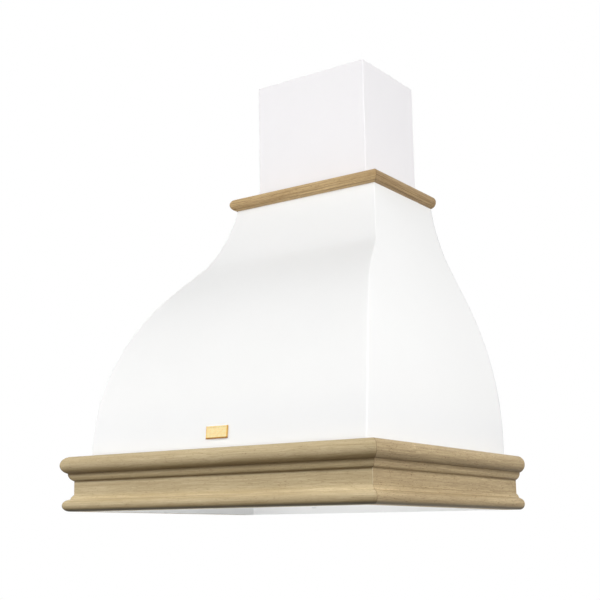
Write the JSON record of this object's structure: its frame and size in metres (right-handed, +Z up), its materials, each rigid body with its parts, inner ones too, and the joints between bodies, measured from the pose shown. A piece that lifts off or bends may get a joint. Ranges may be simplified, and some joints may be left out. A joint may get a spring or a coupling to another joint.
{
  "type": "wooden range hood cover",
  "caption": "Wall hood with a bell-shaped painted steel canopy, box chimney, mitred wooden cornice and neck moulding, drop-down grease filters and an inner blower.",
  "frame": {"origin": "middle of the wall face, level with the underside of the wooden cornice", "axes": "+X to the hood's right as seen from the room's front, +Y into the wall, so the front faces -Y, +Z up"},
  "size_m": [0.6, 0.5, 0.79],
  "materials": {
    "oak_cornice": "fine sanded pale oak, clear matt lacquer",
    "oak_moulding": "warmer pale oak, clear matt lacquer",
    "white_paint": "smooth white powder coat, soft satin",
    "white_sleeve": "smooth white powder coat, matt",
    "galvanised": "zinc-coated sheet, dull",
    "steel_screw": "zinc plated",
    "spring_steel": "tempered strip",
    "base_paint": "white powder coat, satin",
    "brass": "polished and lacquered",
    "filter_aluminium": "mill finish, folded",
    "mesh_aluminium": "expanded mesh in five layers",
    "handle_steel": "plated wire",
    "lamp_ring": "white enamel ring",
    "lamp_glass": "frosted",
    "panel_plastic": "fine texture",
    "key_plastic": "moulded",
    "dark_plastic": "moulded",
    "board_green": "solder mask",
    "can_aluminium": "drawn can"
  },
  "bodies": {
    "hood": {"back_panel": "galvanised", "badge_plate": "brass", "base_plate": "base_paint", "base_plate_screws": "steel_screw", "blower_housing_left": "galvanised", "blower_housing_right": "galvanised", "cable_gland": "dark_plastic", "canopy_front": "white_paint", "canopy_left": "white_paint", "canopy_right": "white_paint", "canopy_top_plate": "galvanised", "capacitor": "can_aluminium", "chimney_lower": "white_sleeve", "chimney_screws": "steel_screw", "circuit_board": "board_green", "collar_screws": "steel_screw", "control_box": "dark_plastic", "control_box_lid": "dark_plastic", "control_panel": "panel_plastic", "cornice_front": "oak_cornice", "cornice_left": "oak_cornice", "cornice_right": "oak_cornice", "cornice_screws": "steel_screw", "cornice_splines": "oak_cornice", "filter_clips": "spring_steel", "filter_hooks": "galvanised", "flap_pins": "steel_screw", "lamp_housing_left": "lamp_ring", "lamp_housing_right": "lamp_ring", "lamp_lens_left": "lamp_glass", "lamp_lens_right": "lamp_glass", "motor": "can_aluminium", "motor_bracket": "galvanised", "motor_screws": "steel_screw", "moulding_front": "oak_moulding", "moulding_left": "oak_moulding", "moulding_right": "oak_moulding", "moulding_screws": "steel_screw", "outlet_collar": "dark_plastic", "switch_block": "dark_plastic"},
    "chimney_upper": {"chimney_upper": "white_sleeve", "chimney_bracket": "galvanised", "chimney_bracket_screws": "steel_screw"},
    "filter_right": {"filter_frame_right": "filter_aluminium", "filter_mesh_right": "mesh_aluminium"},
    "filter_left": {"filter_frame_left": "filter_aluminium", "filter_mesh_left": "mesh_aluminium"},
    "filter_handle_right": {"filter_handle_right": "handle_steel"},
    "filter_handle_left": {"filter_handle_left": "handle_steel"},
    "impeller": {"impeller": "dark_plastic", "motor_shaft": "steel_screw", "impeller_nut": "steel_screw"},
    "flap_front": {"flap_front": "dark_plastic"},
    "flap_rear": {"flap_rear": "dark_plastic"},
    "button_light": {"button_light": "key_plastic"},
    "button_off": {"button_off": "key_plastic"},
    "button_speed_1": {"button_speed_1": "key_plastic"},
    "button_speed_2": {"button_speed_2": "key_plastic"},
    "button_speed_3": {"button_speed_3": "key_plastic"}
  },
  "joints": [
    {"name": "chimney_slide", "type": "slide", "parent": "hood", "child": "chimney_upper", "axis": [0, 0, 1], "range_m": [0, 0.18]},
    {"name": "filter_right_drop", "type": "hinge", "parent": "hood", "child": "filter_right", "pos_m": [0.119, -0.067, 0.0177], "axis": [1, 0, 0], "range_deg": [0, 70]},
    {"name": "filter_left_drop", "type": "hinge", "parent": "hood", "child": "filter_left", "pos_m": [-0.119, -0.067, 0.0177], "axis": [1, 0, 0], "range_deg": [0, 70]},
    {"name": "filter_handle_right_fold", "type": "hinge", "parent": "filter_right", "child": "filter_handle_right", "pos_m": [0.119, -0.3365, 0.0106], "axis": [-1, 0, 0], "range_deg": [0, 90], "stiffness_Nm_per_rad": 0.01, "springref_deg": -34.38},
    {"name": "filter_handle_left_fold", "type": "hinge", "parent": "filter_left", "child": "filter_handle_left", "pos_m": [-0.119, -0.3365, 0.0106], "axis": [-1, 0, 0], "range_deg": [0, 90], "stiffness_Nm_per_rad": 0.01, "springref_deg": -34.38},
    {"name": "impeller_spin", "type": "hinge", "parent": "hood", "child": "impeller", "pos_m": [0, -0.14571, 0.39], "axis": [1, 0, 0], "continuous": true},
    {"name": "flap_front_lift", "type": "hinge", "parent": "hood", "child": "flap_front", "pos_m": [0, -0.094, 0.577], "axis": [-1, 0, 0], "range_deg": [0, 80]},
    {"name": "flap_rear_lift", "type": "hinge", "parent": "hood", "child": "flap_rear", "pos_m": [0, -0.087, 0.577], "axis": [1, 0, 0], "range_deg": [0, 80]},
    {"name": "button_light_press", "type": "slide", "parent": "hood", "child": "button_light", "axis": [0, 0, 1], "range_m": [0, 0.002], "stiffness_N_per_m": 300, "springref_m": -0.003},
    {"name": "button_off_press", "type": "slide", "parent": "hood", "child": "button_off", "axis": [0, 0, 1], "range_m": [0, 0.002], "stiffness_N_per_m": 300, "springref_m": -0.003},
    {"name": "button_speed_1_press", "type": "slide", "parent": "hood", "child": "button_speed_1", "axis": [0, 0, 1], "range_m": [0, 0.002], "stiffness_N_per_m": 300, "springref_m": -0.003},
    {"name": "button_speed_2_press", "type": "slide", "parent": "hood", "child": "button_speed_2", "axis": [0, 0, 1], "range_m": [0, 0.002], "stiffness_N_per_m": 300, "springref_m": -0.003},
    {"name": "button_speed_3_press", "type": "slide", "parent": "hood", "child": "button_speed_3", "axis": [0, 0, 1], "range_m": [0, 0.002], "stiffness_N_per_m": 300, "springref_m": -0.003}
  ]
}
